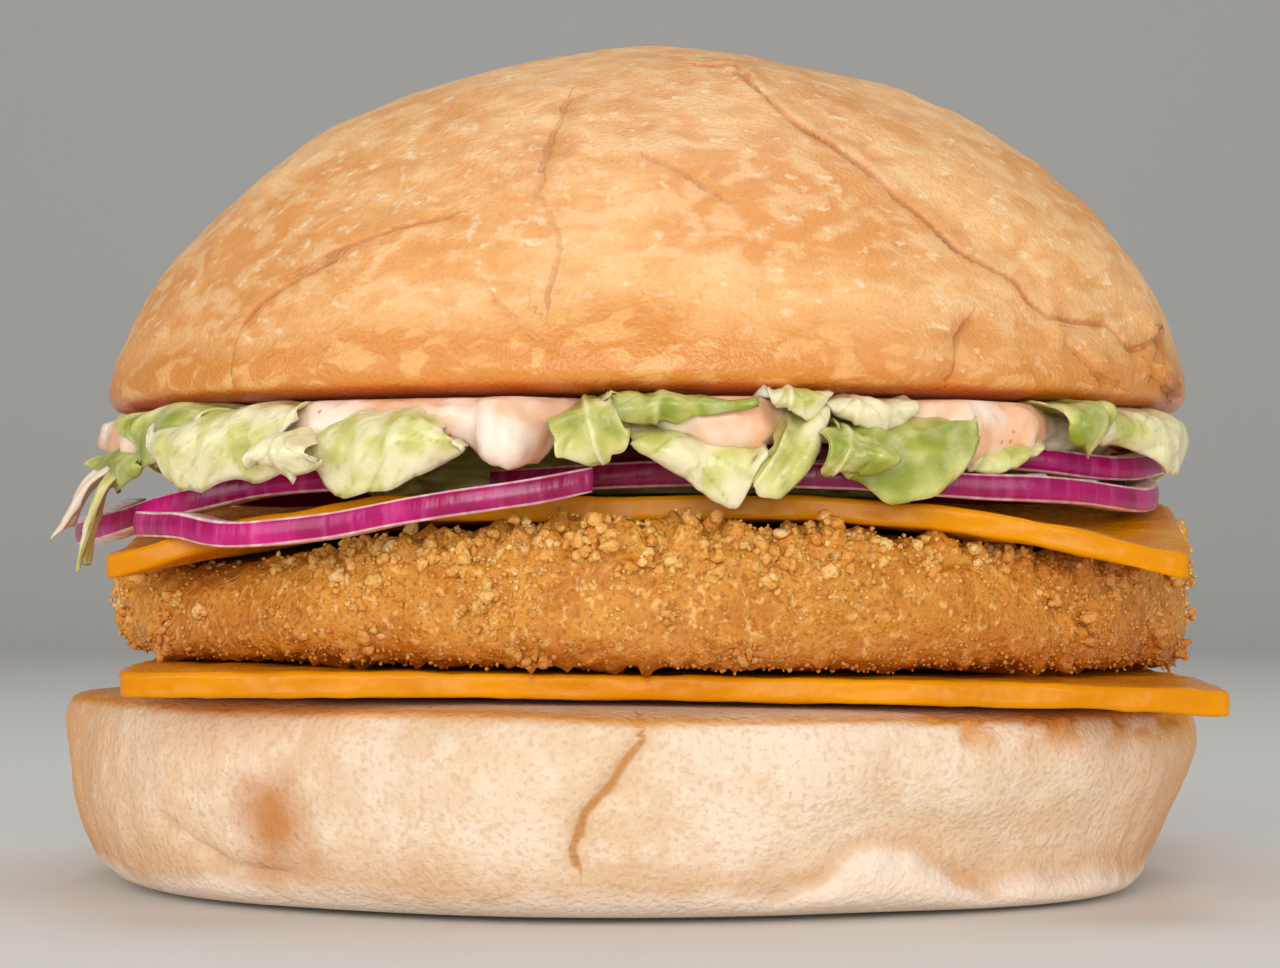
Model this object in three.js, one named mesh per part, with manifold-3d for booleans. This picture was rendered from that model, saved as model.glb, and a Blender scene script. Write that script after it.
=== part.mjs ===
// A chicken burger. From the bottom: a heel of soft bun, a slice of processed cheese, a breaded
// chicken patty, a second slice that drapes over it, red onion, shredded lettuce, pink burger
// sauce and a domed crown. Every layer runs right through, and each one rests on the one below.
// Millimetres, +Z up, and the front of the burger faces -Y. The origin is under the middle of the
// whole burger, on the surface that it stands on.

import * as THREE from "three";
import { mergeVertices } from "three/addons/utils/BufferGeometryUtils.js";
import Module from "manifold-3d";

const wasm = await Module();
wasm.setup();

// Driving sizes
const heel = { radius: 51.3, height: 17.5, x: -1.1 };
const crown = { radius: 50.3, height: 33.9, x: 0.4 };
const patty = { radius: 48.9, thickness: 11.6, x: 1.1 };
const slice = { side: 91, thickness: 2.2, cornerRadius: 2.5 };
const onion = { wall: 2.2, height: 2.1 };
const leafThickness = 0.8;
const fillingHeight = 8;
const lean = 0.014; // how much lower the heel's top is for each millimetre to the right
const gap = 0.3; // air between two pieces that touch

// Heights of the layers, each on top of the last
const lowerSliceBase = heel.height + gap;
const pattyBase = lowerSliceBase + slice.thickness + gap;
const upperSliceBase = pattyBase + patty.thickness + gap;
const crownBase = upperSliceBase + slice.thickness + fillingHeight;

const TURN = 2 * Math.PI;
const radians = THREE.MathUtils.degToRad;
const { lerp, smoothstep } = THREE.MathUtils;

// Small tools

// A number from 0 to 1 that looks random and is always the same for one seed.
function chance(seed) {
  const value = Math.sin(seed * 12.9898 + 4.1) * 43758.5453;
  return value - Math.floor(value);
}

// An uneven outline: a smooth number from about -1 to 1 that comes round again after a full turn.
function wobble(angle, seed) {
  let sum = 0;
  for (const waves of [2, 3, 5, 7]) sum += Math.sin(waves * angle + TURN * chance(seed + waves)) / waves;
  return sum;
}

// Smooth lumps of about one size in space, from about -1 to 1.
function lumps(p, size, seed) {
  let sum = 0;
  for (let k = 0; k < 6; k += 1) {
    const way = TURN * chance(seed + k);
    const rise = 2 * chance(seed + k + 40) - 1;
    const flat = Math.sqrt(1 - rise * rise);
    const along = p.x * flat * Math.cos(way) + p.y * flat * Math.sin(way) + p.z * rise;
    sum += Math.sin((TURN * along) / size + TURN * chance(seed + k + 80));
  }
  return sum / 3;
}

// Degrees from the front of the burger, positive to the right as the eater sees it.
const fromFront = (x, y) => THREE.MathUtils.radToDeg(Math.atan2(x, -y));

// The point at that angle from the front.
const around = (degrees, radius, z) =>
  new THREE.Vector3(radius * Math.sin(radians(degrees)), -radius * Math.cos(radians(degrees)), z);

// 1 at the middle of a range of angles, falling smoothly to 0 at its ends.
function within(degrees, centre, halfWidth) {
  const away = Math.abs(((degrees - centre + 540) % 360) - 180) / halfWidth;
  return away < 1 ? 0.5 + 0.5 * Math.cos(Math.PI * away) : 0;
}

// How close a point of a bun's side is to a crease, from 0 to 1. The crease runs through
// [degrees from the front, height] points, and radius turns degrees into millimetres.
function nearCrease(p, path, radius, width) {
  const side = new THREE.Vector3(radians(fromFront(p.x, p.y)) * radius, p.z, 0);
  const marks = path.map(([degrees, height]) => new THREE.Vector3(radians(degrees) * radius, height, 0));
  let nearest = Infinity;
  for (let i = 1; i < marks.length; i += 1) {
    const run = new THREE.Line3(marks[i - 1], marks[i]);
    nearest = Math.min(nearest, run.closestPointToPoint(side, true, new THREE.Vector3()).distanceTo(side));
  }
  return Math.exp(-((nearest / width) ** 2));
}

// Moves every point of a geometry by a rule.
function reshaped(geometry, rule) {
  const position = geometry.getAttribute("position");
  const point = new THREE.Vector3();
  for (let i = 0; i < position.count; i += 1) {
    rule(point.fromBufferAttribute(position, i));
    position.setXYZ(i, point.x, point.y, point.z);
  }
  return geometry;
}

// A solid turned round +Z from a profile of [radius, height] points.
function turned(profile, segments, rule) {
  const outline = profile.map(([radius, height]) => new THREE.Vector2(radius, height));
  return reshaped(new THREE.LatheGeometry(outline, segments).rotateX(Math.PI / 2), rule);
}

// A sheet with one grid of points on both faces, split into triangles alike, and a rim round it.
// place(u, v, side) gives a point, with u and v from 0 to 1, and side -1 below and 1 above.
function sheet(columns, rows, place) {
  const across = columns + 1;
  const faceSize = across * (rows + 1);
  const points = [];
  const triangles = [];
  for (const side of [-1, 1])
    for (let j = 0; j <= rows; j += 1)
      for (let i = 0; i <= columns; i += 1) points.push(...place(i / columns, j / rows, side).toArray());
  for (let j = 0; j < rows; j += 1)
    for (let i = 0; i < columns; i += 1) {
      const a = j * across + i;
      for (const [p, q, r] of [
        [a, a + 1, a + across + 1],
        [a, a + across + 1, a + across],
      ]) {
        triangles.push(r, q, p);
        triangles.push(p + faceSize, q + faceSize, r + faceSize);
      }
    }
  const rim = [];
  for (let i = 0; i < columns; i += 1) rim.push(i);
  for (let j = 0; j < rows; j += 1) rim.push(j * across + columns);
  for (let i = columns; i > 0; i -= 1) rim.push(rows * across + i);
  for (let j = rows; j > 0; j -= 1) rim.push(j * across);
  rim.forEach((a, k) => {
    const b = rim[(k + 1) % rim.length];
    triangles.push(a, b, b + faceSize, a, b + faceSize, a + faceSize);
  });
  return new THREE.BufferGeometry()
    .setAttribute("position", new THREE.Float32BufferAttribute(points, 3))
    .setIndex(triangles);
}

// Joins and cuts

function solidOf(geometry) {
  const bare = geometry.clone();
  for (const name of ["normal", "uv"]) bare.deleteAttribute(name);
  const merged = mergeVertices(bare, 1e-3);
  const vertProperties = new Float32Array(merged.attributes.position.array);
  const solid = new wasm.Manifold(
    new wasm.Mesh({ numProp: 3, vertProperties, triVerts: new Uint32Array(merged.index.array) }),
  );
  if (solid.volume() > 0) return solid;
  throw new Error("a piece is inside out");
}

// The largest body of a solid, without the scraps that a cut leaves, as a geometry.
function geometryOf(solid) {
  const bodies = solid.simplify(0.1).decompose();
  const largest = bodies.reduce((a, b) => (a.volume() > b.volume() ? a : b));
  const { vertProperties, triVerts } = largest.getMesh();
  return new THREE.BufferGeometry()
    .setAttribute("position", new THREE.BufferAttribute(new Float32Array(vertProperties), 3))
    .setIndex(new THREE.BufferAttribute(new Uint32Array(triVerts), 1));
}

const burger = new THREE.Group();

function add(name, geometry, colour, roughness) {
  const material = new THREE.MeshStandardMaterial({ color: colour, roughness, metalness: 0 });
  const mesh = new THREE.Mesh(geometry, material);
  mesh.name = name;
  burger.add(mesh);
  return mesh;
}

// Heel: the lower half of the bun. It stands on a flat base, its side bellies out above the
// rounding at its foot, and the cut face on top leans down a little to the right.

const dentInHeel = [
  [21, 4.5],
  [28, 5.5],
  [36, 2.5],
];

function heelGeometry() {
  const { radius: r, height: h } = heel;
  const footRadius = r - 8.5;
  const foot = 4.6; // height at which the rounding has turned into the side
  const profile = [[0, 0]];
  for (const share of [0.5, 1]) profile.push([footRadius * share, 0]);
  for (const turn of [30, 55, 75])
    profile.push([
      footRadius + (r - 1.5 - footRadius) * Math.sin(radians(turn)),
      foot * (1 - Math.cos(radians(turn))),
    ]);
  profile.push([r - 0.6, 6.8], [r, 10.5], [r + 0.2, 14]);
  profile.push([r - 0.4, h - 1.1], [r - 1.8, h], [r * 0.6, h], [0, h]);
  return turned(profile, 56, (p) => {
    const angle = Math.atan2(p.y, p.x);
    const degrees = fromFront(p.x, p.y);
    const rise = smoothstep(p.z, 0, 6);
    let out = 1 + 0.011 * wobble(angle, 3) + 0.012 * rise * lumps(p, 31, 5);
    out -= 0.035 * nearCrease(p, dentInHeel, r, 3.2) * rise;
    out += 0.03 * within(degrees, -82, 9) * smoothstep(p.z, 12, 15); // torn knob of crust
    out -= 0.035 * within(degrees, 90, 70) * (1 - smoothstep(p.z, 3, 15)); // leans in at the right
    out += (0.1 * within(degrees, 55, 34) + 0.03 * within(degrees, -55, 34)) * (1 - smoothstep(p.z, 0, 4));
    p.x = p.x * out + heel.x + smoothstep(p.z, 6, 14);
    p.y *= out;
    p.z -= lean * Math.max(p.x, -20) * smoothstep(p.z, 6, h);
  });
}
add("bun_heel", heelGeometry(), 0xefd3b2, 0.75);

// Patty: breaded chicken, with rounded shoulders and a craggy side. Its top is lower at the front
// left, where the onion hangs over it, and a little lower at the right.

function pattySag(x, y) {
  const reach = smoothstep(Math.hypot(x - patty.x, y), 30, patty.radius);
  const degrees = fromFront(x - patty.x, y);
  return reach * (3.6 * within(degrees, -58, 45) + 2.6 * within(degrees, 50, 32));
}

function pattyGeometry() {
  const { radius: r, thickness: t } = patty;
  const profile = [[0, 0], [r * 0.55, 0], [r - 2.4, 0], [r - 0.9, 0.7], [r - 0.1, 2.2]];
  profile.push([r, 4.9], [r, 7.6], [r - 0.7, 9.7], [r - 2.2, 11.2], [r - 4.6, t], [r * 0.55, t], [0, t]);
  return turned(profile, 80, (p) => {
    const side = smoothstep(Math.hypot(p.x, p.y), r - 6, r - 1);
    const out = 1 + 0.011 * wobble(Math.atan2(p.y, p.x), 21) + 0.013 * side * lumps(p, 9, 23);
    p.x = p.x * out + patty.x;
    p.y *= out;
    const crags = 0.35 * (1 + lumps(p, 7, 29)) * smoothstep(p.z, t - 3, t) * side;
    const settled = lean * p.x * (1 - p.z / t);
    p.z -= pattySag(p.x, p.y) * smoothstep(p.z, 0, t) + crags + settled;
    p.z += pattyBase;
  });
}
add("patty", pattyGeometry(), 0xcf8c3c, 0.7);

// Cheese: two square slices. The warm cheese bends down where nothing carries it: the overhang
// follows an arc of the bend's radius and keeps its length.

// Where a point of a slice comes to lie once its overhang has bent: its distance from the middle,
// and how far it has dropped.
function bent(distance, support, bend) {
  const over = distance - support;
  if (over <= 0) return [distance, 0];
  return [support + bend * Math.sin(over / bend), bend * (1 - Math.cos(over / bend))];
}

function sliceGeometry({ centre, turn, carrier, support, bend, underside }) {
  const { side, thickness, cornerRadius } = slice;
  return sheet(12, 12, (u, v, face) => {
    const flat = new THREE.Vector3((u - 0.5) * side, (v - 0.5) * side, 0);
    const straight = side / 2 - cornerRadius;
    const corner = new THREE.Vector2(Math.abs(flat.x) - straight, Math.abs(flat.y) - straight);
    if (corner.x > 0 && corner.y > 0 && corner.length() > cornerRadius) {
      corner.setLength(cornerRadius);
      flat.x = Math.sign(flat.x) * (straight + corner.x);
      flat.y = Math.sign(flat.y) * (straight + corner.y);
    }
    flat.applyAxisAngle(new THREE.Vector3(0, 0, 1), radians(turn));
    flat.x += centre.x - carrier;
    flat.y += centre.y;
    const distance = Math.hypot(flat.x, flat.y);
    const [reach, drop] = bent(distance, support, bend);
    const x = (flat.x * reach) / Math.max(distance, 1e-9) + carrier;
    const y = (flat.y * reach) / Math.max(distance, 1e-9);
    return new THREE.Vector3(x, y, underside(x, y) - drop + (face > 0 ? thickness : 0));
  });
}

const lowerSlice = {
  centre: { x: 1.5, y: 0.3 },
  turn: 2,
  carrier: heel.x,
  support: heel.radius - 3,
  bend: 200,
  underside: (x) => lowerSliceBase - lean * x,
};
add("cheese_bottom", sliceGeometry(lowerSlice), 0xf0a52a, 0.4);

// The upper slice lies in soft waves on the crags of the patty.
const upperSlice = {
  centre: { x: 3.2, y: 5.4 },
  turn: -4,
  carrier: patty.x,
  support: patty.radius - 3,
  bend: 45,
  underside: (x, y) => {
    const edge = smoothstep(Math.hypot(x, y), 28, 44);
    const waves = 0.15 * (1 + Math.sin(0.21 * x + 0.6) * Math.cos(0.17 * y + 0.4));
    return upperSliceBase + edge * waves - pattySag(x, y);
  },
};
add("cheese_top", sliceGeometry(upperSlice), 0xf0a52a, 0.4);

// How far the upper slice's overhang has dropped, and the height of its top face, both carried on
// past its edges.
function cheeseDrop(x, y) {
  const { support, bend, carrier } = upperSlice;
  const over = Math.max(0, Math.hypot(x - carrier, y) - support);
  return bend - Math.sqrt(bend * bend - over * over);
}
const cheeseTop = (x, y) => upperSlice.underside(x, y) - cheeseDrop(x, y) + slice.thickness;

// Red onion: slices of ring on the cheese, limp enough to follow it. Angles are in degrees
// anticlockwise from +X, and level 1 lies on level 0. The two rings at the left hang over the
// edge of the cheese, so theirs is the height of the underside at some angles, [angle, height].

const hangFrontLeft = [
  [200, 31.3],
  [212, 31.1],
  [221, 31.1],
  [228, 30.1],
  [235, 30.2],
  [249, 30.9],
  [262, 32.4],
  [270, 33],
  [290, 34.8],
];
const hangUpperLeft = [
  [155, 33.4],
  [172, 31.8],
  [185, 30.9],
  [195, 30.6],
  [212, 31.2],
  [225, 32.6],
  [240, 34],
  [250, 34.9],
  [280, 35.6],
];
const onionRings = [
  { name: "onion_front_left", x: -12.3, y: -17.5, radius: 32.3, from: 205, to: 285, hang: hangFrontLeft },
  { name: "onion_front_right", x: 13.5, y: -13.2, radius: 31.3, from: 216, to: 374, level: 0 },
  { name: "onion_back_left", x: -13, y: 13, radius: 32, from: 76, to: 167, level: 0 },
  { name: "onion_back_right", x: 15, y: 14, radius: 31, from: -4, to: 118, level: 0 },
  { name: "onion_upper_left", x: -18.5, y: -2, radius: 32.2, from: 158, to: 262, hang: hangUpperLeft },
  { name: "onion_upper_right", x: 17.3, y: -4.5, radius: 30, from: 226, to: 380, level: 1 },
  { name: "onion_upper_back", x: 1, y: 17, radius: 30.5, from: 22, to: 163, level: 1 },
];
const onionRipple = 0.2; // how far a ring lifts off the cheese and settles again
const bridged = 0.6; // how much of the dip at the front right a ring bridges

// Height of the underside of a ring at a point of it.
function ringUnderside(ring, angle, x, y) {
  if (!ring.hang) {
    const lift = onionRipple * (0.5 + 0.5 * Math.sin(3 * angle + ring.x));
    const dip = within(fromFront(x, y), 45, 28) * (pattySag(x, y) + cheeseDrop(x, y));
    return cheeseTop(x, y) + gap + lift + bridged * dip + ring.level * (onion.height + onionRipple + gap);
  }
  const turn = THREE.MathUtils.radToDeg(angle);
  const next = Math.max(1, ring.hang.findIndex(([mark]) => mark > turn));
  const [[before, low], [after, high]] = ring.hang.slice(next - 1, next + 1);
  return lerp(low, high, smoothstep(turn, before, after));
}

// spare makes the ring that much thicker all round, to cut room for it out of other pieces.
function onionGeometry(ring, spare = 0) {
  const steps = Math.round(((ring.to - ring.from) / 360) * 48);
  const box = new THREE.BoxGeometry(1, onion.wall + 2 * spare, onion.height + 2 * spare, steps, 1, 2);
  const endSpare = THREE.MathUtils.radToDeg(spare / ring.radius);
  return reshaped(box, (p) => {
    const angle = radians(lerp(ring.to + endSpare, ring.from - endSpare, p.x + 0.5));
    const bulge = 0.3 * (1 - ((2 * p.z) / onion.height) ** 2);
    const radius = ring.radius * (1 + 0.012 * wobble(angle, ring.radius)) + p.y + Math.max(bulge, 0);
    p.x = ring.x + radius * Math.cos(angle);
    p.y = ring.y + radius * Math.sin(angle);
    p.z += ringUnderside(ring, angle, p.x, p.y) + onion.height / 2;
  });
}
for (const ring of onionRings) add(ring.name, onionGeometry(ring), 0xa8386f, 0.35);

// Lettuce: a heap of shreds and torn leaves. A core lies inside the onion rings, and the leaves
// that show run out from it over the rings and hang down outside them.

const heap = { radius: 33, underside: upperSliceBase + slice.thickness + 0.6, top: crownBase - 1.7 };

// A leaf springs from the core, rises to its top edge just under the crown and hangs down to its
// bottom edge. Each edge is given by its two ends, as [degrees from the front, height]. The bottom
// edge stands out at the leaf's reach from the middle, and the top edge at its rim, 4 mm less.
const shownLeaves = [
  { top: [[-57, 41.2], [-43.5, 40.9]], bottom: [[-62, 39.2], [-50, 37.8]], reach: 51 },
  { top: [[-47.4, 41], [-33, 41]], bottom: [[-49, 35.6], [-33.8, 35.4]], reach: 52.8 },
  { top: [[-68, 39.6], [-54, 39.6]], bottom: [[-72, 36], [-56, 35.8]], reach: 51.4 },
  { top: [[-67, 40], [-63.5, 40]], bottom: [[-72, 31.8], [-69.5, 31]], rim: 45.5, reach: 54.8 },
  { top: [[-62, 40], [-59, 40]], bottom: [[-66, 28.2], [-64, 27.8]], rim: 46.5, reach: 54 },
  { top: [[-31, 40.4], [-19, 41]], bottom: [[-28, 34.8], [-16, 36.2]], reach: 51.8 },
  { top: [[-7.7, 40.4], [-3.3, 41.2]], bottom: [[-5.8, 36.3], [-0.5, 37.5]], reach: 51.6 },
  { top: [[-1.7, 41], [9.5, 41.2]], bottom: [[-0.7, 38.8], [8.5, 40.4]], reach: 51.4 },
  { top: [[-0.4, 40], [11.2, 40]], bottom: [[2, 35.4], [9.8, 34.6]], reach: 49.8 },
  { top: [[13, 40], [17.6, 41.2]], bottom: [[9.5, 34.8], [15.5, 35.2]], reach: 51.6 },
  { top: [[17.2, 41.2], [26, 41.2]], bottom: [[17.2, 39.9], [26.6, 39.8]], reach: 50.4 },
  { top: [[16.8, 40], [31, 41.2]], bottom: [[18, 35], [28.5, 34.8]], reach: 52 },
  { top: [[30.5, 38.9], [41.5, 39]], bottom: [[30.3, 36.6], [40.1, 37]], reach: 50 },
  { top: [[43.4, 41.1], [51.4, 41.2]], bottom: [[42, 38.6], [49, 38.3]], reach: 51.6 },
  { top: [[50, 41.1], [68, 41.2]], bottom: [[49, 38], [67, 36.8]], reach: 51.6 },
];

// The same kinds of leaf carry on round the sides and the back.
function leavesRoundTheBack(count, start, end) {
  return Array.from({ length: count }, (_, k) => {
    const angle = lerp(start, end, (k + 0.35 + 0.3 * chance(k + 300)) / count);
    const half = lerp(4, 7.5, chance(k + 310));
    const aside = lerp(-5, 5, chance(k + 330));
    const height = lerp(36, 38.4, chance(k + 350));
    const reach = lerp(51.4, 52.4, chance(k + 370));
    const tilt = lerp(-1, 1, chance(k + 390));
    const top = [[angle - half, 41 + 0.2 * tilt], [angle + half, 41 - 0.2 * tilt]];
    const bottom = [[angle + aside - 0.8 * half, height + tilt], [angle + aside + 0.8 * half, height - tilt]];
    return { top, bottom, reach };
  });
}
const leaves = [...shownLeaves, ...leavesRoundTheBack(12, 84, 274)];

// The middle of a leaf's thickness, with u running across it and v out from the core to its tip.
function leafSurface(leaf, index, u, v) {
  const along = (edge) => new THREE.Vector2(...edge[0]).lerp(new THREE.Vector2(...edge[1]), u);
  const [top, bottom] = [along(leaf.top), along(leaf.bottom)];
  const middleOfTop = (leaf.top[0][0] + leaf.top[1][0]) / 2;
  const root = around(lerp(middleOfTop, top.x, 0.7), heap.radius - 2.5, heap.top - 1.1);
  const rim = around(top.x, leaf.rim ?? leaf.reach - 4, top.y);
  const tip = around(bottom.x, leaf.reach, bottom.y);
  const atRim = 0.45; // how far along the curve its top edge comes
  const bend = rim
    .clone()
    .addScaledVector(root, -((1 - atRim) ** 2))
    .addScaledVector(tip, -(atRim ** 2))
    .divideScalar(2 * atRim * (1 - atRim));
  const wave = 0.7 * v * Math.sin(5 * u + 3 * v + TURN * chance(index + 500));
  return new THREE.QuadraticBezierCurve3(root, bend, tip).getPoint(v).add(around(top.x, wave, 0));
}

function leafGeometry(leaf, index, spare = 0) {
  const width = radians(leaf.top[1][0] - leaf.top[0][0]) * leaf.reach;
  return sheet(3, 4, (share, v, face) => {
    const u = lerp(-spare / width, 1 + spare / width, share);
    const across = leafSurface(leaf, index, u + 0.01, v).sub(leafSurface(leaf, index, u - 0.01, v));
    const along = leafSurface(leaf, index, u, v + 0.01).sub(leafSurface(leaf, index, u, v - 0.01));
    const normal = across.cross(along).normalize();
    return leafSurface(leaf, index, u, v).addScaledVector(normal, face * (leafThickness / 2 + spare));
  });
}

function heapCore() {
  const { radius: r, underside, top } = heap;
  const profile = [[0, underside], [r - 2, underside], [r, underside + 1.5], [r - 1, top], [0, top]];
  return turned(profile, 24, (p) => {
    const out = 1 + 0.02 * wobble(Math.atan2(p.y, p.x), 61);
    p.x *= out;
    p.y *= out;
    if (p.z < top) p.z += cheeseTop(p.x, p.y) - cheeseTop(0, 0);
  });
}

const onionRoom = onionRings.map((ring) => solidOf(onionGeometry(ring, gap)));
const lettuce = leaves
  .map((leaf, index) => solidOf(leafGeometry(leaf, index)))
  .reduce((sum, leaf) => sum.add(leaf), solidOf(heapCore()));
add("lettuce", geometryOf(onionRoom.reduce((rest, ring) => rest.subtract(ring), lettuce)), 0xb9cf7a, 0.5);

// Sauce: a layer under the crown that swells out between the leaves in thick lobes. Each lobe has
// its angle from the front, its half width in degrees, how far it reaches and how low it hangs.

const lobes = [
  { angle: -62, halfWidth: 19, reach: 50.2, hang: 37.6 },
  { angle: -22, halfWidth: 17, reach: 50, hang: 38.2 },
  { angle: -13, halfWidth: 5, reach: 51.2, hang: 36.6 },
  { angle: 6.5, halfWidth: 9, reach: 50.2, hang: 38.6 },
  { angle: 35, halfWidth: 11, reach: 51.4, hang: 37.6 },
  { angle: 110, halfWidth: 15, reach: 50.8, hang: 38.2 },
  { angle: 168, halfWidth: 17, reach: 50.6, hang: 37.6 },
  { angle: 240, halfWidth: 14, reach: 50.4, hang: 38.4 },
];
const sauceLayer = { radius: 35, top: crownBase - gap, thickness: 1 };

function sauceGeometry() {
  const { radius: r, top, thickness: t } = sauceLayer;
  const furthest = 15; // how far the profile runs out past the layer, before it is drawn in
  const profile = [[0, -t], [r, -t], [r + 10.4, -t], [r + 11.2, -t - 0.01], [r + 13.6, -t - 0.01]];
  profile.push([r + 14.8, -t * 0.9], [r + furthest, -t * 0.4], [r + 14, 0], [r, 0], [0, 0]);
  return turned(profile, 60, (p) => {
    const radius = Math.hypot(p.x, p.y);
    const degrees = fromFront(p.x, p.y);
    let reach = 1.5;
    let hang = 0;
    for (const lobe of lobes) {
      const share = Math.sqrt(within(degrees, lobe.angle, lobe.halfWidth));
      reach = Math.max(reach, share * (lobe.reach - r));
      hang = Math.max(hang, share * (top - t - lobe.hang));
    }
    const drop = p.z < -t ? 1 : smoothstep(radius, r + 14, r + furthest) * (-p.z / t) * 0.7;
    const past = Math.max(0, radius - r);
    const out = past > 0 ? (r + (past * reach) / furthest) / radius : 1;
    p.x *= out;
    p.y *= out;
    p.z += top - hang * drop;
  });
}

const leafRoom = leaves.map((leaf, index) => solidOf(leafGeometry(leaf, index, gap)));
const sauce = [...leafRoom, ...onionRoom].reduce((rest, room) => rest.subtract(room), solidOf(sauceGeometry()));
add("sauce", geometryOf(sauce), 0xf3b692, 0.25);

// Crown: the upper half of the bun, a little narrower towards its top than half an ellipse. Its
// flat cut face lies on the filling, and a deep fold runs down its right side to the rim.

const fold = [
  [24, 22],
  [36, 11.7],
  [46, 7],
  [58, 6],
  [64, 1],
];

function crownGeometry() {
  const { radius: r, height: h } = crown;
  const rim = 2.2;
  const rings = 9;
  const profile = [[0, 0], [r * 0.6, 0], [r - 2.6, 0], [r - 0.8, 0.7]];
  for (let i = 0; i <= rings; i += 1) {
    const rise = radians((90 * i) / rings);
    const drawnIn = 1 - 0.1 * Math.sin(rise) * (1 - Math.sin(rise) ** 4);
    profile.push([r * Math.cos(rise) * drawnIn, rim + (h - rim) * Math.sin(rise)]);
  }
  return turned(profile, 56, (p) => {
    const angle = Math.atan2(p.y, p.x);
    const rise = smoothstep(p.z, 0, 5);
    let out = 1 + 0.008 * wobble(angle, 71) + 0.011 * rise * lumps(p, 27, 73);
    out -= 0.035 * nearCrease(p, fold, r, 2.6) * rise;
    p.x = p.x * out + crown.x + 0.8 * smoothstep(p.z, 0, 10);
    p.y *= out;
    p.z = p.z * (1 + 0.008 * rise * lumps(p, 23, 79) + 0.0004 * p.x) + crownBase;
  });
}
add("bun_crown", crownGeometry(), 0xe0a060, 0.5);

export default burger;
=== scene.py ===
import math

import bmesh
import bpy
import numpy as np
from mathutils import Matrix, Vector, noise
from mathutils.bvhtree import BVHTree
from mathutils.kdtree import KDTree


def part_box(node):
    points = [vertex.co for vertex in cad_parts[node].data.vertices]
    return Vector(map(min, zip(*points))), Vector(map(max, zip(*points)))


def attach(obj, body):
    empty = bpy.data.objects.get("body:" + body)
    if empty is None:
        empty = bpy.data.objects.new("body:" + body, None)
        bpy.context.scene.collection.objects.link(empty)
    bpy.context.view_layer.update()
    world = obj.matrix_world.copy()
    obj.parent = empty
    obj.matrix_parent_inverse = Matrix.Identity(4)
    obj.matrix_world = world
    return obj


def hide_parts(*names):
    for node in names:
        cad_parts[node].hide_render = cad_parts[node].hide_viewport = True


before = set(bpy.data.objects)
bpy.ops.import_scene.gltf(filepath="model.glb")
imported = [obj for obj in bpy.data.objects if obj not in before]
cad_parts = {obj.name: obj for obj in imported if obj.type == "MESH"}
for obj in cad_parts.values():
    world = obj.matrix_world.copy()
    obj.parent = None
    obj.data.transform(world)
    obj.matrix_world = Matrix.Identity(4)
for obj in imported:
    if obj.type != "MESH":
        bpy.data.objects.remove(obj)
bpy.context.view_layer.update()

# Heel: the lower half of a soft white bun, baked close to its neighbours and cut flat on top.
# Its side stays pale and floury, with a split at the front and dents at the right. Only the cut
# edge is browned, and it is torn and greasy at the right where the cheese has run.

MM = 0.001
heel_middle = Vector((-1.1, 0, 9.5))
heel_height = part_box("bun_heel")[1].z / MM
bun_radius = 50


def smoothed(node, name, levels, crease=0.0):
    """A dense copy of a solid: its triangles become quads again and are subdivided smoothly."""
    copy = bmesh.new()
    copy.from_mesh(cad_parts[node].data)
    bmesh.ops.remove_doubles(copy, verts=copy.verts, dist=0.01 * MM)
    bmesh.ops.join_triangles(
        copy,
        faces=copy.faces,
        angle_face_threshold=math.radians(40),
        angle_shape_threshold=math.radians(80),
    )
    creases = copy.edges.layers.float.new("crease_edge")
    for edge in copy.edges:
        if edge.calc_face_angle(0) > math.radians(50):
            edge[creases] = crease
    mesh = bpy.data.meshes.new(name)
    copy.to_mesh(mesh)
    copy.free()
    piece = bpy.data.objects.new(name, mesh)
    bpy.context.collection.objects.link(piece)
    smoother = piece.modifiers.new("smooth", "SUBSURF")
    smoother.levels = levels
    return applied(piece)


def applied(piece):
    """Turns a piece's modifiers into its mesh."""
    seen = piece.evaluated_get(bpy.context.evaluated_depsgraph_get())
    piece.data = bpy.data.meshes.new_from_object(seen)
    piece.modifiers.clear()
    return piece


def made(name, points, faces):
    """A new piece from points in millimetres."""
    mesh = bpy.data.meshes.new(name)
    mesh.from_pydata((np.asarray(points) * MM).tolist(), [], faces)
    piece = bpy.data.objects.new(name, mesh)
    bpy.context.collection.objects.link(piece)
    return piece


def points_of(piece):
    """A piece's points, in millimetres."""
    flat = np.empty(3 * len(piece.data.vertices))
    piece.data.vertices.foreach_get("co", flat)
    return flat.reshape(-1, 3) / MM


def normals_of(piece):
    """Which way a piece's surface faces at each of its points."""
    flat = np.empty(3 * len(piece.data.vertices))
    piece.data.vertices.foreach_get("normal", flat)
    return flat.reshape(-1, 3)


def pushed_out(piece, distance):
    """Moves each point along its normal by its own distance, in millimetres."""
    moved = points_of(piece) + normals_of(piece) * distance[:, None]
    piece.data.vertices.foreach_set("co", (moved * MM).ravel())
    piece.data.update()


def marked(piece, name, amounts):
    """Keeps a number for each point, which the piece's finish can read."""
    layer = piece.data.attributes.new(name, "FLOAT", "POINT")
    layer.data.foreach_set("value", np.asarray(amounts, dtype=np.float32))


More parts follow.
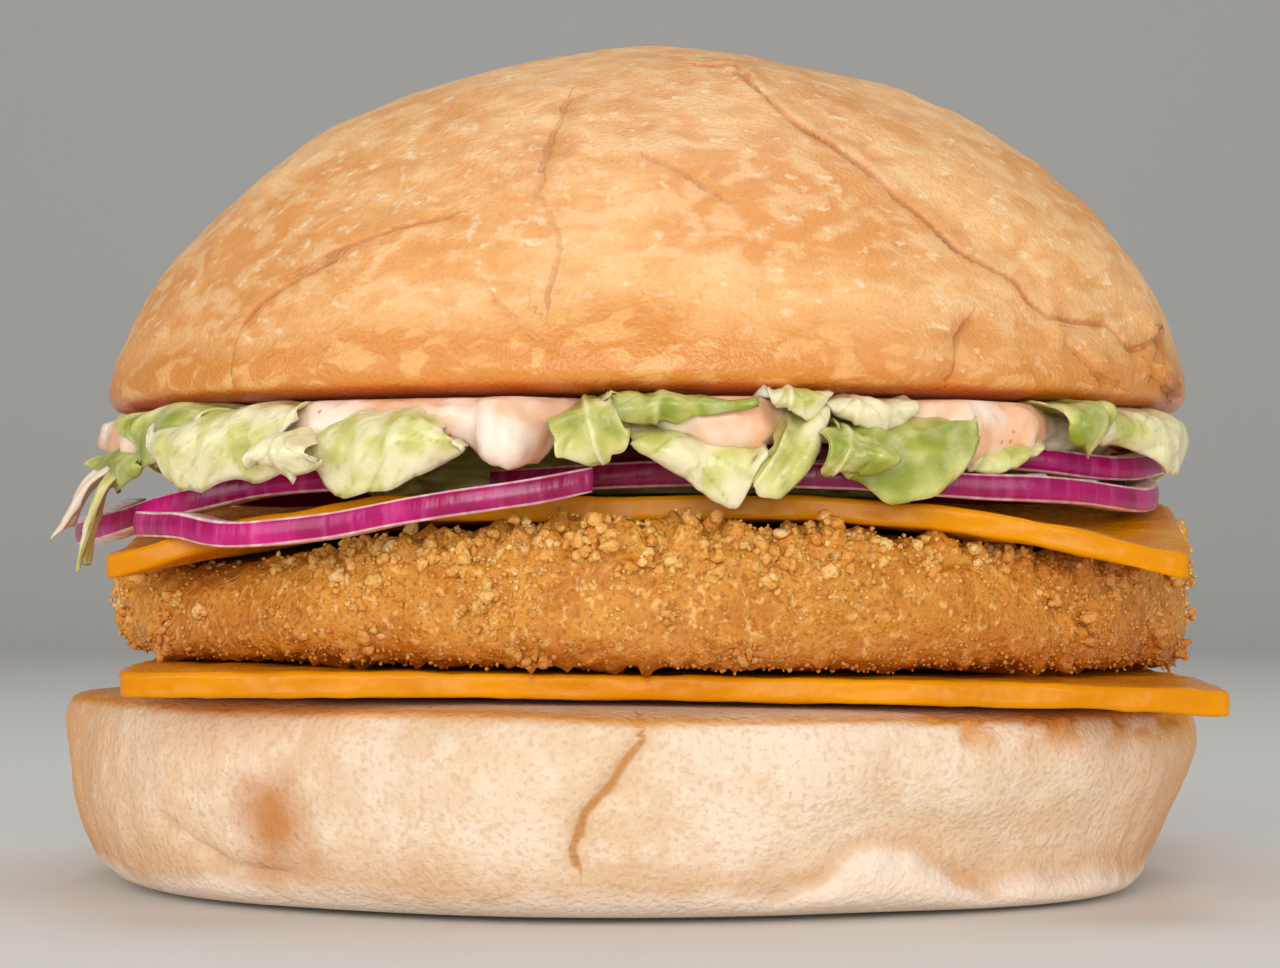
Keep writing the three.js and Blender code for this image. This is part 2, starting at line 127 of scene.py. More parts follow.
def skin_over(node, name, middle, slopes, columns):
    """An even, fine skin on a round solid, where rays from its middle meet it. slopes are the
    rays' angles above level, from the bottom pole to the top one, in degrees."""
    solid = smoothed(node, name + "_form", 3)
    tree = BVHTree.FromObject(solid, bpy.context.evaluated_depsgraph_get())
    bpy.data.objects.remove(solid)
    turns = np.arange(columns) * 2 * math.pi / columns
    points = []
    for slope in np.radians(slopes):
        for turn in turns if abs(slope) < math.radians(89.9) else [0]:
            level = math.cos(slope)
            ray = Vector((level * math.cos(turn), level * math.sin(turn), math.sin(slope)))
            points.append(tree.ray_cast(middle * MM, ray)[0] / MM)
    top = len(points) - 1
    faces = []
    for row in range(len(slopes) - 3):
        start = 1 + row * columns
        above = start + columns
        for column in range(columns):
            beside = (column + 1) % columns
            faces.append((start + column, start + beside, above + beside, above + column))
    last = 1 + (len(slopes) - 3) * columns
    for column in range(columns):
        beside = (column + 1) % columns
        faces.append((0, 1 + beside, 1 + column))
        faces.append((last + column, last + beside, top))
    return made(name, points, faces)


def grain(points, size, seed=0, octaves=4):
    """Fractal noise of one size in millimetres, or of three along the axes, from about -1 to 1."""
    start = np.array([7.3, 3.1, 5.7]) * seed
    places = points / np.array(size) + start
    return np.array([noise.fractal(Vector(place), 1.0, 2.0, octaves) for place in places])


def ramp(values, low, high):
    """0 below low and 1 above high, with a smooth rise between."""
    share = np.clip((values - low) / (high - low), 0, 1)
    return share * share * (3 - 2 * share)


def degrees_round(points, middle):
    """Each point's angle from the front, positive to the right."""
    return np.degrees(np.arctan2(points[:, 0] - middle[0], middle[1] - points[:, 1]))


def distance_to(points, middle, path):
    """How far each point is from a line over the surface, in millimetres, with a minus on one
    side of it, and how far above the line's nearest part it is. The line is given by marks
    (degrees from the front, height)."""
    degrees = degrees_round(points, middle)
    sideways = np.stack([np.cos(np.radians(degrees)), np.sin(np.radians(degrees))], axis=1)
    out = np.hypot(points[:, 0] - middle[0], points[:, 1] - middle[1])
    marks = []
    for turn, height in path:
        miss = np.hypot(np.radians(degrees - turn) * bun_radius, points[:, 2] - height) - 0.1 * out
        marks.append(points[np.argmin(miss)])
    nearest = np.full(len(points), np.inf)
    above = np.zeros(len(points))
    for start, end in zip(marks, marks[1:]):
        run = end - start
        share = np.clip((points - start) @ run / max(run @ run, 1e-9), 0, 1)
        away = points - start - share[:, None] * run
        distance = np.linalg.norm(away, axis=1)
        closer = distance < np.abs(nearest)
        over = (sideways @ run[:2]) * away[:, 2] > run[2] * (away[:, :2] * sideways).sum(axis=1)
        nearest = np.where(closer, np.where(over, distance, -distance), nearest)
        above = np.where(closer, away[:, 2], above)
    return nearest, above


def bump_at(distance, width):
    """1 where there is no distance, and falling smoothly to almost 0 at two widths."""
    return np.exp(-((distance / width) ** 2))


# Slopes of the rays: close together on the heel's side, and wider over its two flat faces.
side_slopes = np.linspace(-11, 10.5, 56)
heel_slopes = [-90, -75, -60, -45, -34, -26, -21, -18, -16, -14, -12.5, *side_slopes]
heel_slopes += [11, 11.6, 12.6, 14, 17, 22, 30, 42, 58, 74, 90]
heel = skin_over("bun_heel", "heel", heel_middle, heel_slopes, 560)

heel_split = [(1.6, 17.6), (1.2, 15.1), (-0.1, 13.2), (-2.2, 11.2), (-3.8, 9.2)]
heel_split += [(-4.2, 6.8), (-4.4, 4.9)]
heel_fold = [(14, 2.2), (18, 3.4), (20.6, 5.4), (23.5, 6.6), (28.6, 6.0), (34, 3.4), (38, 1.6)]
heel_left_fold = [(-51.1, 7.4), (-46, 5.2), (-41.8, 3.8), (-34.4, 3.3)]
# Swellings between the dents: degrees from the front, height, size and how far they stand out.
heel_swellings = [(35, 11.4, 4, 0.5), (49, 12.5, 4.5, 0.6), (58, 8.7, 5, 0.5), (-14, 14, 6, 0.3)]
heel_radius = 51
# The brown spot: degrees from the front and height. A radius below the heel's own makes it
# wider, and a share below 1 makes it higher.
spot_turn, spot_height, spot_radius, spot_share = -35.5, 7.6, 44, 0.8

spots = points_of(heel)
degrees = degrees_round(spots, heel_middle)
edge_height = heel_height - 0.6 - 0.014 * (np.maximum(spots[:, 0], -20) + 20)
below_edge = edge_height - spots[:, 2]
side = ramp(spots[:, 2], 0.3, 2.5) * ramp(below_edge, -0.6, 0.6)
jitter = grain(spots, 2.5, 3)
offset, _ = distance_to(spots, heel_middle, heel_split)
offset += 0.35 * jitter
split = np.abs(offset)
fold, above_fold = distance_to(spots, heel_middle, heel_fold)
fold = np.abs(fold + 0.5 * jitter)
left_fold, _ = distance_to(spots, heel_middle, heel_left_fold)
shape = 0.4 * grain(spots, 16, 1, 3) + 0.1 * grain(spots, 3.5, 2, 3)
shape += 0.3 * grain(spots * [1, 1, 0.3], 3.0, 9, 3) * bump_at(np.abs(degrees) - 66, 24)
shape -= 0.7 * bump_at(split, 0.4) + 0.25 * bump_at(split, 1.7)
shape -= 0.5 * bump_at(fold, 1.0) + 0.7 * bump_at(fold, 4.5) * ramp(above_fold, -0.5, 2)
shape += 0.35 * bump_at(fold - 2.4, 2.2) * ramp(-above_fold, 0, 1)
shape -= 0.45 * bump_at(left_fold, 0.6) + 0.25 * bump_at(left_fold, 2.2)
for turn, height, size, rise in heel_swellings:
    away = np.hypot(np.radians(degrees - turn) * heel_radius, spots[:, 2] - height)
    shape += rise * bump_at(away, size)
torn = bump_at(below_edge - 1.1, 1.3) * ramp(degrees, 20, 30) * ramp(-degrees, -80, -68)
torn = torn * ramp(grain(spots, 4, 10, 2), -0.35, 0.15)
shape += torn * (0.9 * grain(spots, 1.5, 5) - 0.1)
pushed_out(heel, shape * side)

crust_line = bump_at(below_edge - 0.25, 0.4 + 0.2 * grain(spots, 7, 6, 2))
spot_across = np.radians(degrees - spot_turn) * spot_radius
patch = np.hypot(spot_across, (spots[:, 2] - spot_height) * spot_share)
scorched = ramp(-patch + 1.6 * grain(spots, 4, 7), -5.4, -0.6)
floury = ramp(-spots[:, 2] + 1.1 * grain(spots, 7, 8), -3.6, -1.6)
floury += bump_at(fold - 2.5, 3) * (above_fold < 0)
marked(heel, "toasted", np.clip(crust_line + 0.9 * torn, 0, 1))
marked(heel, "scorched", scorched)
marked(heel, "tanned", ramp(np.abs(degrees + 4 * jitter), 38, 85))
# Painted shade: the lower part of the side is marked for darkening, as shade near the ground.
marked(heel, "low", ramp(-spots[:, 2] + jitter, -7, -1))
marked(heel, "floury", np.clip(floury, 0, 1))
marked(heel, "offset", offset)
marked(heel, "split", bump_at(split, 1.3))
shaded = 0.5 * bump_at(split, 1.0) + 0.8 * bump_at(fold, 1.0) * (above_fold > -0.6)
marked(heel, "shaded", np.clip(shaded, 0, 1))


class Wire:
    """A socket of a finish. Sums on it add Math nodes, and node() adds any other kind of node."""

    def __init__(self, tree, socket=None):
        self.tree = tree
        self.socket = socket

    def node(self, kind, settings=None, sockets=None, output=0):
        new = self.tree.nodes.new("ShaderNode" + kind)
        for name, setting in (settings or {}).items():
            setattr(new, name, setting)
        for name, value in (sockets or {}).items():
            if isinstance(value, Wire):
                self.tree.links.new(value.socket, new.inputs[name])
            else:
                new.inputs[name].default_value = value
        return Wire(self.tree, new.outputs[output])

    def sum(self, operation, *values):
        return self.node("Math", {"operation": operation}, dict(enumerate(values)))

    def __add__(self, other):
        return self.sum("ADD", self, other)

    def __sub__(self, other):
        return self.sum("SUBTRACT", self, other)

    def __rsub__(self, other):
        return self.sum("SUBTRACT", other, self)

    def __mul__(self, other):
        return self.sum("MULTIPLY", self, other)

    __radd__ = __add__
    __rmul__ = __mul__

    def between(self, low, high):
        """0 up to low and 1 from high, with a smooth rise between."""
        sockets = {"Value": self, "From Min": low, "From Max": high}
        return self.node("MapRange", {"interpolation_type": "SMOOTHSTEP"}, sockets)

    def mix(self, first, second):
        """From the first colour, where this is 0, to the second, where it is 1."""
        return self.node("Mix", {"data_type": "RGBA"}, {0: self, 6: first, 7: second}, output=2)

    def mark(self, name):
        """A number kept on the mesh's points."""
        return self.node("Attribute", {"attribute_name": name}, output=2)

    def place(self, stretch=(1, 1, 1)):
        """Where on the burger a point is, in millimetres, with its axes stretched."""
        here = self.node("TexCoord", output=3)
        scale = tuple(part / MM for part in stretch)
        return self.node("VectorMath", {"operation": "MULTIPLY"}, {0: here, 1: scale})

    def speckle(self, size, detail=3.0, stretch=(1, 1, 1)):
        """Cloudy noise of one size in millimetres, from 0 to 1."""
        sockets = {"Vector": self.place(stretch), "Scale": 1 / size, "Detail": detail}
        return self.node("TexNoise", {}, sockets)

    def cells(self, size):
        """Distance to the nearest of many scattered points, about one size apart."""
        return self.node("TexVoronoi", {}, {"Vector": self.place(), "Scale": 1 / size})

    def relief(self, height, depth):
        """A bump from a height between 0 and 1, worth a depth in millimetres."""
        return self.node("Bump", {}, {"Height": height, "Distance": depth * MM, "Strength": 1.0})


def colour(red, green, blue):
    """A colour as the eye sees it, from 0 to 255, as the shader's own light values."""
    parts = [part / 255 for part in (red, green, blue)]
    return (*[p / 12.92 if p <= 0.04045 else ((p + 0.055) / 1.055) ** 2.4 for p in parts], 1.0)


def new_finish(name):
    """A finish with nothing in it yet, and a wire to start it from."""
    finish = bpy.data.materials.new(name)
    finish.use_nodes = True
    finish.node_tree.nodes.clear()
    return finish, Wire(finish.node_tree)


def dressed(piece, finish, sockets):
    """Closes a finish with its shader and puts it on a piece."""
    shader = Wire(finish.node_tree).node("BsdfPrincipled", {}, sockets)
    end = finish.node_tree.nodes.new("ShaderNodeOutputMaterial")
    finish.node_tree.links.new(shader.socket, end.inputs["Surface"])
    put_on(piece, finish)


def put_on(piece, finish):
    """Gives a piece a finish and smooth shading."""
    piece.data.materials.clear()
    piece.data.materials.append(finish)
    piece.data.polygons.foreach_set("use_smooth", [True] * len(piece.data.polygons))


def placed(piece, slot, *nodes):
    """Ties a piece to the burger, in place of the solids it stands for."""
    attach(piece, "root")
    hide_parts(*nodes)


crumb, wire = new_finish("white bun")
clouds = wire.speckle(9, 4)
pores = wire.speckle(0.55, 4)
flecks = wire.speckle(2.2, 5)
tint = clouds.between(0.35, 0.68).mix(colour(228, 196, 160), colour(241, 218, 192))
tint = (flecks.between(0.45, 0.75) * 0.6).mix(tint, colour(244, 225, 202))
tint = ((1 - pores).between(0.5, 0.66) * 0.4).mix(tint, colour(212, 170, 126))
tint = (wire.mark("tanned") * (0.45 + 0.7 * clouds)).mix(tint, colour(216, 152, 90))
# Painted shade: a darker tan towards the bottom of the heel, for the shade near the ground.
tint = (wire.mark("low") * 0.65).mix(tint, colour(202, 150, 102))
tint = (wire.mark("floury") * 0.75).mix(tint, colour(244, 228, 210))
tint = (wire.mark("scorched") * 0.9).mix(tint, colour(194, 124, 58))
tint = (wire.mark("shaded") * 0.6).mix(tint, colour(206, 152, 96))
opened = (1 - wire.sum("ABSOLUTE", wire.mark("offset")).between(0.15, 0.5)) * wire.mark("split")
tint = (opened * 0.75).mix(tint, colour(196, 130, 58))
tint = (wire.mark("toasted") * (0.6 + 0.6 * flecks)).mix(tint, colour(212, 136, 34))
crumb_shader = {
    "Base Color": tint,
    "Roughness": 0.75,
    "Normal": wire.relief(pores * 0.5 + flecks * 0.5, 0.5),
    "Subsurface Weight": 0.15,
    "Subsurface Radius": (1.0, 0.6, 0.35),
    "Subsurface Scale": 1.0 * MM,
    "Specular IOR Level": 0.25,
}
dressed(heel, crumb, crumb_shader)
placed(heel, "bun", "bun_heel")


# Cheese: two slices of processed cheese, laid on warm. They sag over the edges they lie on and
# have soft rounded rims, a greasy gloss, and fine ripples along the side where they were pressed.

lower_cheese = smoothed("cheese_bottom", "lower_cheese", 3, 0.5)
upper_cheese = smoothed("cheese_top", "upper_cheese", 3, 0.5)
for slice_, seed, sag in [(lower_cheese, 11, 0.12), (upper_cheese, 12, 0.38)]:
    spots = points_of(slice_)
    rim = ramp(np.hypot(spots[:, 0], spots[:, 1]), 38, 46)
    spots[:, 2] += sag * rim * grain(spots * [1, 1, 0], 9, seed, 2)
    if slice_ == upper_cheese:
        # The onion at the front left has pushed the soft edge back and up.
        pushed = bump_at(spots[:, 0] + 29, 13) * ramp(-spots[:, 1], 28, 38)
        spots[:, 1] += 2.6 * pushed
        spots[:, 2] += 1.3 * pushed
    slice_.data.vertices.foreach_set("co", (spots * MM).ravel())
    slice_.data.update()
    ripples = 0.16 * grain(spots * [1, 1, 2.5], 5, seed + 2, 2)
    ripples += 0.05 * grain(spots, 1.6, seed + 5, 3)
    pushed_out(slice_, ripples - 0.05)

melted, wire = new_finish("melted cheese")
clouds = wire.speckle(11, 2)
fat = wire.speckle(1.1, 3)
tint = clouds.between(0.3, 0.7).mix(colour(210, 130, 0), colour(229, 150, 0))
tint = (fat.between(0.55, 0.8) * 0.2).mix(tint, colour(238, 170, 30))
melted_shader = {
    "Base Color": tint,
    "Roughness": 0.22 + 0.12 * fat,
    "Normal": wire.relief(wire.speckle(2.6, 2), 0.25),
    "Subsurface Weight": 0.3,
    "Subsurface Radius": (1.0, 0.4, 0.02),
    "Subsurface Scale": 1.2 * MM,
    "Specular IOR Level": 0.12,
}
dressed(lower_cheese, melted, melted_shader)
put_on(upper_cheese, melted)
placed(lower_cheese, "cheese", "cheese_bottom")
placed(upper_cheese, "cheese", "cheese_top")


# Patty: minced or whole chicken in batter, rolled in crumbs and deep fried. The batter shows as
# a smooth translucent gold between crags, which crowd along the upper edge, and its colour is
# darkest along the lower edge.

patty_middle = Vector((1.1, 0, 26.2))
patty_low, patty_high = [corner.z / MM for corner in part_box("patty")]
side_slopes = np.linspace(-7.6, 7.2, 48)
patty_slopes = [-90, -74, -58, -42, -30, -22, -17, -14, -12, -10.6, -9.6, -8.8, -8.1, *side_slopes]
patty_slopes += [7.9, 8.6, 9.4, 10.4, 11.8, 14, 17, 22, 30, 42, 58, 74, 90]
patty = skin_over("patty", "breaded_patty", patty_middle, patty_slopes, 640)

spots = points_of(patty)
rise = (spots[:, 2] - patty_low) / (patty_high - patty_low)
out = np.hypot(spots[:, 0] - patty_middle.x, spots[:, 1])
rim = ramp(out, 38, 44)
patchy = grain(spots, 7, 21, 3)
upper_edge = ramp(rise + 0.12 * patchy, 0.55, 0.85) * ramp(out, 41, 45)
lower_edge = ramp(-rise, -0.3, -0.05) * ramp(out, 42, 46)
lumpy = np.abs(grain(spots, 3.4, 22, 2))
crags = np.maximum(grain(spots, 1.5, 23, 3), 0)
crumbly = ramp(patchy, 0.1, 0.5)
shape = 0.3 * grain(spots, 10, 24, 2) + 1.9 * lumpy * (0.15 + upper_edge + 0.3 * crumbly)
shape += crags * (0.12 + 1.0 * upper_edge + 0.7 * lower_edge + 0.6 * ramp(patchy, 0.0, 0.4))
pushed_out(patty, shape * (0.2 + 0.8 * rim) - 0.3 * rim)
marked(patty, "craggy", np.clip(1.2 * crags + 0.6 * upper_edge + 0.5 * crumbly, 0, 1))
marked(patty, "rise", np.clip(rise, 0, 1))

# Crumbs: fine ones stand all over the side, and bigger ones have baked into clumps, most of them
# along the upper edge. No crumb is set where a slice of cheese lies.

draw = np.random.default_rng(5)
crumb_kinds, fine_count, clump_count = 8, 6800, 290
seats = KDTree(len(patty.data.vertices))
for vertex in patty.data.vertices:
    seats.insert(vertex.co, vertex.index)
seats.balance()
scene_now = bpy.context.evaluated_depsgraph_get()
slices = [BVHTree.FromObject(slice_, scene_now) for slice_ in (lower_cheese, upper_cheese)]


def crumb_shape(seed, detail):
    """One craggy crumb, about one millimetre across."""
    lump = bmesh.new()
    bmesh.ops.create_icosphere(lump, subdivisions=detail, radius=0.5)
    corners = np.array([v.co[:] for v in lump.verts])
    sides = np.array([[v.index for v in face.verts] for face in lump.faces])
    lump.free()
    lumpy = 1 + 0.45 * grain(corners, 0.45, seed + 200, 2)
    uneven = np.random.default_rng(seed).uniform(0.8, 1.15, len(corners))
    return corners * (lumpy * uneven)[:, None], sides


def any_turn():
    """A turn by any amount about any axis."""
    turned, _ = np.linalg.qr(draw.normal(size=(3, 3)))
    return turned


def strewn(name, places, detail):
    """One piece made of crumbs, each given by its point, how far it stands off and its size."""
    kinds = [crumb_shape(seed, detail) for seed in range(crumb_kinds)]
    points, faces, tones = [], [], []
    total = 0
    for near, stand, size in places:
        _, index, _ = seats.find(near * MM)
        seat = spots[index] + outward[index] * stand
        if any(tree.find_nearest(seat * MM, (0.5 * size + 0.1) * MM)[0] for tree in slices):
            continue
        corners, sides = kinds[draw.integers(crumb_kinds)]
        points.append((corners * draw.uniform(0.7, 1.25, 3) * size) @ any_turn() + seat)
        faces.append(sides + total)
        tones.append(np.full(len(corners), draw.random()))
        total += len(corners)
    piece = made(name, np.concatenate(points), np.concatenate(faces).tolist())
    marked(piece, "tone", np.concatenate(tones))
    return piece


spots, outward = points_of(patty), normals_of(patty)
wanted = (0.2 + 1.2 * upper_edge + 1.4 * lower_edge + ramp(patchy, 0.05, 0.4)) * ramp(out, 41, 46)
fine = []
for index in draw.choice(len(spots), fine_count, p=wanted / wanted.sum()):
    size = 0.2 + 0.34 * draw.random() ** 1.8
    fine.append((spots[index] + draw.normal(size=3) * 0.3, size * draw.uniform(0, 0.4), size))
top_corner = bump_at(rise - 0.98, 0.08) * bump_at(out - 47.5, 2.2)
wanted = 0.02 + 1.2 * upper_edge + 0.15 * lower_edge + 0.6 * ramp(patchy, 0.15, 0.5)
wanted += 2.5 * top_corner
wanted *= ramp(out, 41, 46)
wanted *= ramp(rise, 0.1, 0.2)
clumped = []
for index in draw.choice(len(spots), clump_count, p=wanted / wanted.sum()):
    spread = draw.uniform(0.6, 1.6)
    for _ in range(int(2 + 5.5 * spread)):
        away = draw.normal(size=3) * 0.42 * spread
        stand = 0.8 * max(0, spread * (1 - np.linalg.norm(away) / (1.3 * spread))) * draw.random()
        clumped.append((spots[index] + away, stand, 0.5 + 0.75 * draw.random() ** 1.5))
fine_crumbs = strewn("fine_crumbs", fine, 1)
clumped_crumbs = strewn("clumped_crumbs", clumped, 2)

fried, wire = new_finish("fried batter")
up = wire.mark("rise")
clouds = wire.speckle(5, 4)
grit = wire.speckle(0.45, 3)
sparks = wire.speckle(0.8, 4)
tint = clouds.between(0.35, 0.65).mix(colour(194, 119, 22), colour(212, 143, 48))
tint = (wire.mark("craggy") * 0.7).mix(tint, colour(226, 156, 60))
tint = (sparks.between(0.54, 0.68) * 0.65).mix(tint, colour(244, 198, 120))
tint = ((1 - grit).between(0.5, 0.66) * 0.6).mix(tint, colour(160, 84, 8))
# Darker towards the bottom of the patty.
tint = ((1 - up).between(0.6, 1.0) * 0.7).mix(tint, colour(172, 82, 4))
fried_shader = {
    "Base Color": tint,
    "Roughness": 0.3 + 0.3 * grit,
    "Normal": wire.relief(grit * 0.5 + sparks * 0.5, 0.5),
    "Subsurface Weight": 0.3,
    "Subsurface Radius": (1.0, 0.45, 0.12),
    "Subsurface Scale": 0.9 * MM,
    "Specular IOR Level": 0.35,
}
dressed(patty, fried, fried_shader)
placed(patty, "breading", "patty")

crisp, wire = new_finish("crisp crumbs")
grit = wire.speckle(0.35, 3)
low = 1 - wire.node("SeparateXYZ", {}, {"Vector": wire.place()}, output=2).between(20, 27)
tint = wire.mark("tone").mix(colour(226, 150, 56), colour(246, 190, 104))
tint = (wire.mark("tone").between(0.75, 1.0) * 0.45).mix(tint, colour(254, 218, 154))
tint = ((1 - grit).between(0.5, 0.68) * 0.4).mix(tint, colour(198, 116, 24))
tint = (grit.between(0.5, 0.75) * 0.3).mix(tint, colour(248, 210, 140))
tint = (low * 0.65).mix(tint, colour(184, 92, 8))
crisp_shader = {
    "Base Color": tint,
    "Roughness": 0.45,
    "Normal": wire.relief(grit, 0.3),
    "Subsurface Weight": 0.3,
    "Subsurface Radius": (1.0, 0.5, 0.2),
    "Subsurface Scale": 0.6 * MM,
    "Specular IOR Level": 0.35,
}
dressed(fine_crumbs, crisp, crisp_shader)
put_on(clumped_crumbs, crisp)
for crumbs in (fine_crumbs, clumped_crumbs):
    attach(crumbs, "root")


# Red onion: slices of ring cut about two millimetres thick. The outer skin of each is glossy
# purple. Painted shade darkens the rings in the middle of the burger to wine red and dims their
# cut faces, and the faces turned in to each ring's hollow are painted dark red as shade. The cut
# faces are wet and almost white.

onions = sorted(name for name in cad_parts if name.startswith("onion"))
ring_finish, wire = new_finish("red onion")
skin = wire.mark("skin")
streaks = wire.speckle(1.1, 4, (1, 1, 0.12))
clouds = wire.speckle(7, 3)
purple = clouds.between(0.3, 0.7).mix(colour(146, 2, 72), colour(206, 20, 126))
purple = (streaks.between(0.48, 0.72) * 0.4).mix(purple, colour(222, 96, 160))
# Painted shade: faces turned in to the ring's hollow are darkened to dark red.
purple = ((1 - skin).between(0.5, 1.0) * 0.6).mix(purple, colour(120, 16, 30))
# Painted shade: the rings in the middle of the burger are darkened to wine red.
purple = (wire.mark("painted_middle_shade") * 0.85).mix(purple, colour(98, 4, 16))
flesh = streaks.between(0.35, 0.7).mix(colour(226, 170, 176), colour(248, 226, 214))
cut = wire.mark("cut")
# Painted shade also keeps the cut faces in the middle of the burger from their full white.
tint = (cut.between(0.4, 0.62) * (1 - 0.6 * wire.mark("painted_middle_shade"))).mix(purple, flesh)
ring_shader = {
    "Base Color": tint,
    "Roughness": 0.16 + 0.15 * streaks,
    "Normal": wire.relief(streaks, 0.12),
    "Subsurface Weight": 0.25,
    "Subsurface Radius": (1.0, 0.3, 0.5),
    "Subsurface Scale": 0.8 * MM,
    "Specular IOR Level": 0.35,
}
for seed, node in enumerate(onions):
    ring = smoothed(node, node.replace("onion", "ring"), 2, 0.7)
    spots = points_of(ring)
    system = np.column_stack([2 * spots[:, :2], np.ones(len(spots))])
    middle = np.linalg.lstsq(system, (spots[:, :2] ** 2).sum(axis=1), rcond=None)[0]
    across = np.hypot(spots[:, 0] - middle[0], spots[:, 1] - middle[1])
    away = (spots[:, :2] - middle[:2]) / across[:, None]
    facing = normals_of(ring)
    outside = (facing[:, :2] * away).sum(axis=1)
    marked(ring, "skin", np.clip(0.5 + 0.5 * outside, 0, 1))
    marked(ring, "cut", np.abs(facing[:, 2]))
    # Painted shade: how much each point is darkened, most near the middle of the burger.
    marked(ring, "painted_middle_shade", bump_at(spots[:, 0] - 8, 20 + 6 * (node == "onion_front_right")))
    pushed_out(ring, 0.1 * grain(spots, 6, 31 + seed, 2))
    if seed == 0:
        dressed(ring, ring_finish, ring_shader)
    else:
        put_on(ring, ring_finish)
    placed(ring, "onion", node)


# Lettuce: torn iceberg leaves and shreds, heaped on the onion. Each leaf is thin and crisp, pale
# by its rib and greener towards its torn edge, and its blade buckles between the veins.

crown_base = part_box("bun_crown")[0].z / MM
core_radius, core_top = 33.0, crown_base - 1.7


def leaf(top, bottom, reach, green, rim=None, rib=None, pink=0.0):
    """A leaf runs out from the core, over its top edge just under the crown, and hangs down to its
    bottom edge. The marks along both edges are (degrees from the front, height). The bottom edge
    is at the leaf's reach from the middle, and the top edge at its rim."""
    rim = rim or reach - 3.6
    return dict(top=top, bottom=bottom, reach=reach, rim=rim, green=green, rib=rib, pink=pink)


shown_leaves = [
    leaf(
        [(-74, 42), (-68, 42.3), (-62, 42)],
        [(-73, 39.4), (-67, 38.4), (-62, 39.6)],
        48.6,
        0.1,
        pink=0.5,
    ),
    leaf(
        [(-60, 41.4), (-55, 42.3), (-49, 42.3), (-43, 41.4)],
        [(-62, 40), (-57.5, 38.2), (-53, 37.6), (-46, 39.4)],
        51.2,
        0.5,
    ),
    leaf(
        [(-51, 41.8), (-44, 41.5), (-38, 41.9), (-33, 41.6)],
        [(-51, 36.8), (-46, 35.3), (-40, 35.4), (-34, 35.0)],
        52.4,
        0.25,
    ),
    leaf(
        [(-35.5, 38.8), (-32.5, 39.7), (-29.5, 38.6)],
        [(-34.6, 35.9), (-31, 35.8), (-27, 36.6)],
        53.2,
        0.15,
        rim=51,
    ),
    leaf(
        [(-72, 39), (-64, 39.4), (-55, 39.2)],
        [(-72, 36.4), (-63, 35.4), (-54, 35.6)],
        51.0,
        0.75,
    ),
    leaf([(-68, 40), (-62, 40)], [(-72.6, 32.4), (-68.6, 31.2)], 54.2, 0.0, rim=46, pink=0.8),
    leaf([(-63, 40), (-58.5, 40)], [(-66.4, 29.0), (-63.6, 28.6)], 53.6, 0.4, rim=47, pink=0.1),
    leaf(
        [(-33, 38.8), (-29, 40.8), (-24, 41.6), (-20.5, 41.4), (-17.5, 40)],
        [(-32, 36.8), (-28, 35), (-23.5, 34.2), (-19, 35.8), (-14.4, 37.3)],
        52.0,
        0.2,
    ),
    leaf(
        [(-8.4, 40.2), (-5.6, 41.8), (-3, 42.4)],
        [(-5.8, 36.2), (-3.2, 36.9), (-0.4, 37.6)],
        51.6,
        0.55,
    ),
    leaf([(-2.8, 42.2), (3, 42.2), (10.4, 41.6)], [(-1, 38.9), (3.5, 40.2), (9.8, 41)], 51.4, 0.95),
    leaf(
        [(-1, 39.8), (5, 39.8), (11.4, 39.2)],
        [(0, 36.7), (3.2, 35.6), (6.6, 34.0), (9.2, 34.0), (10.8, 36.4)],
        50.4,
        0.2,
    ),
    leaf(
        [(11.5, 42.3), (14, 42.4), (17.6, 42.4)],
        [(11.6, 41), (14, 40.7), (17.2, 41.1)],
        50.8,
        0.3,
    ),
    leaf(
        [(12.6, 39.6), (15, 41.2), (17.6, 41.8)],
        [(9.0, 35.2), (11.6, 34.5), (15.8, 35.2)],
        51.2,
        0.35,
    ),
    leaf(
        [(16.8, 42.2), (21, 42.2), (26.8, 42)],
        [(17.4, 40.2), (21.4, 39.5), (25.8, 39.9)],
        50.4,
        0.0,
        pink=0.2,
    ),
    leaf(
        [(17.4, 40.4), (22, 40.5), (27, 41.1), (32, 41.7)],
        [(16.8, 36.2), (20, 34.9), (24.4, 34.1), (29, 35.6)],
        51.6,
        0.8,
    ),
    leaf(
        [(15.6, 39.5), (19, 39.4), (22.2, 38.2)],
        [(15.6, 36.2), (18, 35.7), (20.4, 36.2)],
        52.6,
        0.75,
        rim=50.6,
    ),
    leaf(
        [(30, 39.2), (36, 39.3), (41.5, 39.5)],
        [(30.2, 36.9), (35, 36.5), (40.4, 37.4)],
        50.0,
        0.15,
    ),
    leaf(
        [(42.4, 42.2), (47, 42.4), (51.4, 42.4)],
        [(41.8, 38.9), (46, 38.1), (50, 39.2)],
        51.6,
        0.8,
    ),
    leaf(
        [(50, 42), (60, 42.3), (70, 42.3)],
        [(49.4, 38.6), (56, 38.2), (63, 37.3), (70, 36.9)],
        50.6,
        0.12,
        rib=0.6,
    ),
]


def chance(seed):
    """A number from 0 to 1 that looks random and is always the same for one seed."""
    value = math.sin(seed * 12.9898 + 4.1) * 43758.5453
    return value - math.floor(value)


